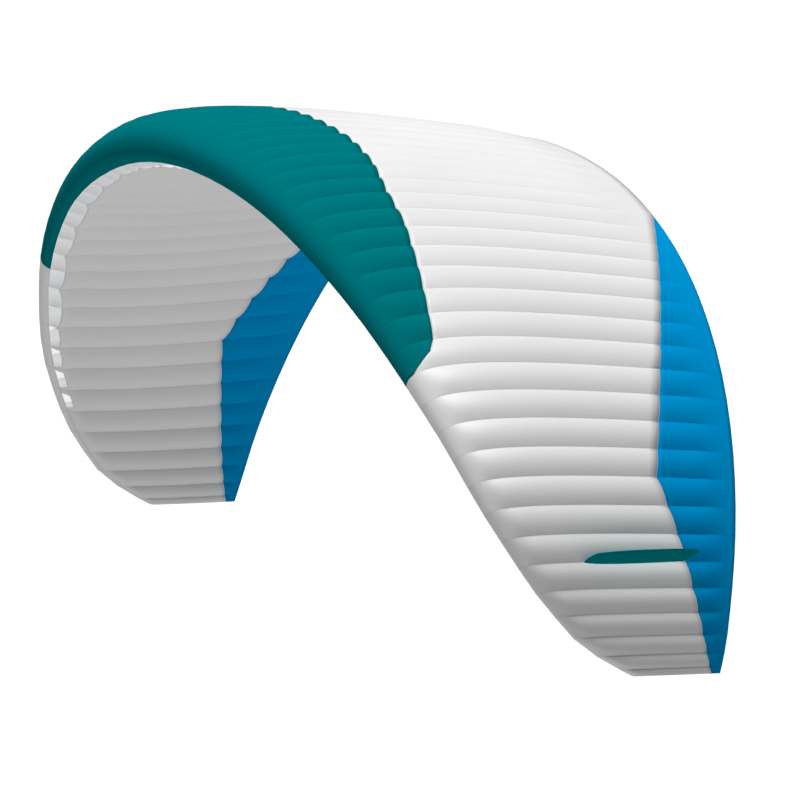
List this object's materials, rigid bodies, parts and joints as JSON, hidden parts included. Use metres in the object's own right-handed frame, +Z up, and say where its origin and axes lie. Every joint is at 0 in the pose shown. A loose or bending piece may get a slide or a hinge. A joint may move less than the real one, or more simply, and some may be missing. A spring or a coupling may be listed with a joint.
{
  "type": "paraglider wing",
  "caption": "Inflated, arched ram-air canopy for free flight, with ribbed cells, air intakes under the nose, coloured panels and small winglets near its tips.",
  "frame": {"origin": "on the lower skin at the centre rib, 30 % of the chord behind the nose, where the lines would pull", "axes": "+X along the span to the pilot's left, +Y from the nose to the trailing edge, +Z up"},
  "size_m": [9.6632, 2.5531, 3.0764],
  "materials": {
    "white_cloth": "coated ripstop nylon, satin",
    "teal_cloth": "coated ripstop nylon, satin",
    "blue_cloth": "coated ripstop nylon, satin",
    "rib_cloth": "stiff coated nylon, matt"
  },
  "bodies": {
    "root": {"lower_main": "white_cloth", "lower_trailing_left": "blue_cloth", "lower_trailing_right": "blue_cloth", "rib_centre": "rib_cloth", "rib_left_01": "rib_cloth", "rib_left_02": "rib_cloth", "rib_left_03": "rib_cloth", "rib_left_04": "rib_cloth", "rib_left_05": "rib_cloth", "rib_left_06": "rib_cloth", "rib_left_07": "rib_cloth", "rib_left_08": "rib_cloth", "rib_left_09": "rib_cloth", "rib_left_10": "rib_cloth", "rib_left_11": "rib_cloth", "rib_left_12": "rib_cloth", "rib_left_13": "rib_cloth", "rib_left_14": "rib_cloth", "rib_left_15": "rib_cloth", "rib_left_16": "rib_cloth", "rib_left_17": "rib_cloth", "rib_left_18": "rib_cloth", "rib_left_19": "rib_cloth", "rib_left_20": "rib_cloth", "rib_left_21": "rib_cloth", "rib_left_22": "rib_cloth", "rib_left_23": "rib_cloth", "rib_right_01": "rib_cloth", "rib_right_02": "rib_cloth", "rib_right_03": "rib_cloth", "rib_right_04": "rib_cloth", "rib_right_05": "rib_cloth", "rib_right_06": "rib_cloth", "rib_right_07": "rib_cloth", "rib_right_08": "rib_cloth", "rib_right_09": "rib_cloth", "rib_right_10": "rib_cloth", "rib_right_11": "rib_cloth", "rib_right_12": "rib_cloth", "rib_right_13": "rib_cloth", "rib_right_14": "rib_cloth", "rib_right_15": "rib_cloth", "rib_right_16": "rib_cloth", "rib_right_17": "rib_cloth", "rib_right_18": "rib_cloth", "rib_right_19": "rib_cloth", "rib_right_20": "rib_cloth", "rib_right_21": "rib_cloth", "rib_right_22": "rib_cloth", "rib_right_23": "rib_cloth", "tip_fin_left": "teal_cloth", "tip_fin_right": "teal_cloth", "tip_rib_left": "rib_cloth", "tip_rib_right": "rib_cloth", "upper_leading": "teal_cloth", "upper_main": "white_cloth", "upper_trailing_left": "blue_cloth", "upper_trailing_right": "blue_cloth"}
  },
  "joints": []
}
